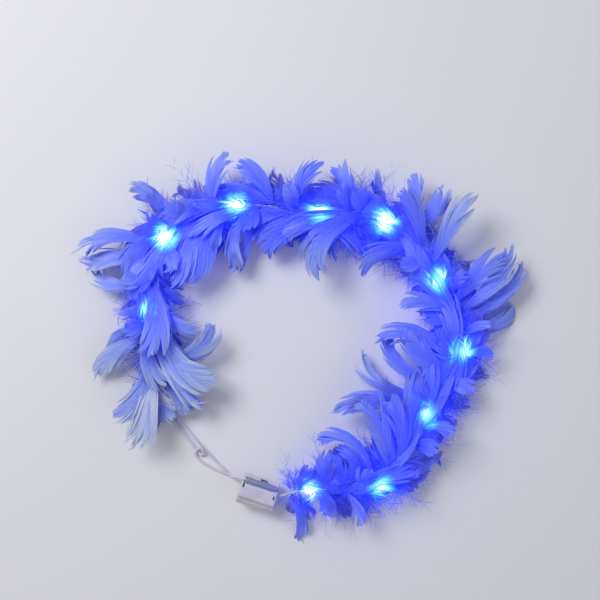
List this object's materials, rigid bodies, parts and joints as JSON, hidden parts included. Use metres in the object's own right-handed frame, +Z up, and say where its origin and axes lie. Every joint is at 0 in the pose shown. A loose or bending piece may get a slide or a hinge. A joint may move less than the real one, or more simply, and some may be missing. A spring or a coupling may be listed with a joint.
{
  "type": "light-up feather crown headband",
  "caption": "Ring-shaped feather headband with small lights along a wire, a battery case with a slide switch at one end, and linked elastic loops that close it.",
  "frame": {"origin": "on the table, under the middle of the headband's box", "axes": "+Z up from the table that it lies on, +X across the ring along its longest side, +Y away from the battery case's side"},
  "size_m": [0.2876, 0.2512, 0.0347],
  "materials": {
    "feather": "soft white feather, lit blue near the lights",
    "light": "clear resin drop, lit from inside",
    "wire": "clear-coated twin lead",
    "thread": "wound white thread",
    "elastic": "braided round elastic",
    "case": "moulded, satin",
    "glue": "clear set glue",
    "slider": "moulded, matt"
  },
  "bodies": {
    "headband": {"led_wire": "wire", "led_01": "light", "led_02": "light", "led_03": "light", "led_04": "light", "led_05": "light", "led_06": "light", "led_07": "light", "led_08": "light", "led_09": "light", "led_10": "light", "feather_tuft_01": "feather", "feather_tuft_02": "feather", "feather_tuft_03": "feather", "feather_tuft_04": "feather", "feather_tuft_05": "feather", "feather_tuft_06": "feather", "feather_tuft_07": "feather", "feather_tuft_08": "feather", "feather_tuft_09": "feather", "feather_tuft_10": "feather", "feather_tuft_11": "feather", "end_binding": "thread", "elastic_loop": "elastic", "elastic_eye": "elastic", "case_shell": "case", "case_cover": "case", "glue_strip": "glue"},
    "switch": {"switch_slider": "slider"}
  },
  "joints": [
    {"name": "switch_slide", "type": "slide", "parent": "headband", "child": "switch", "axis": [0.2367, 0.7286, -0.6428], "range_m": [0, 0.003]}
  ]
}
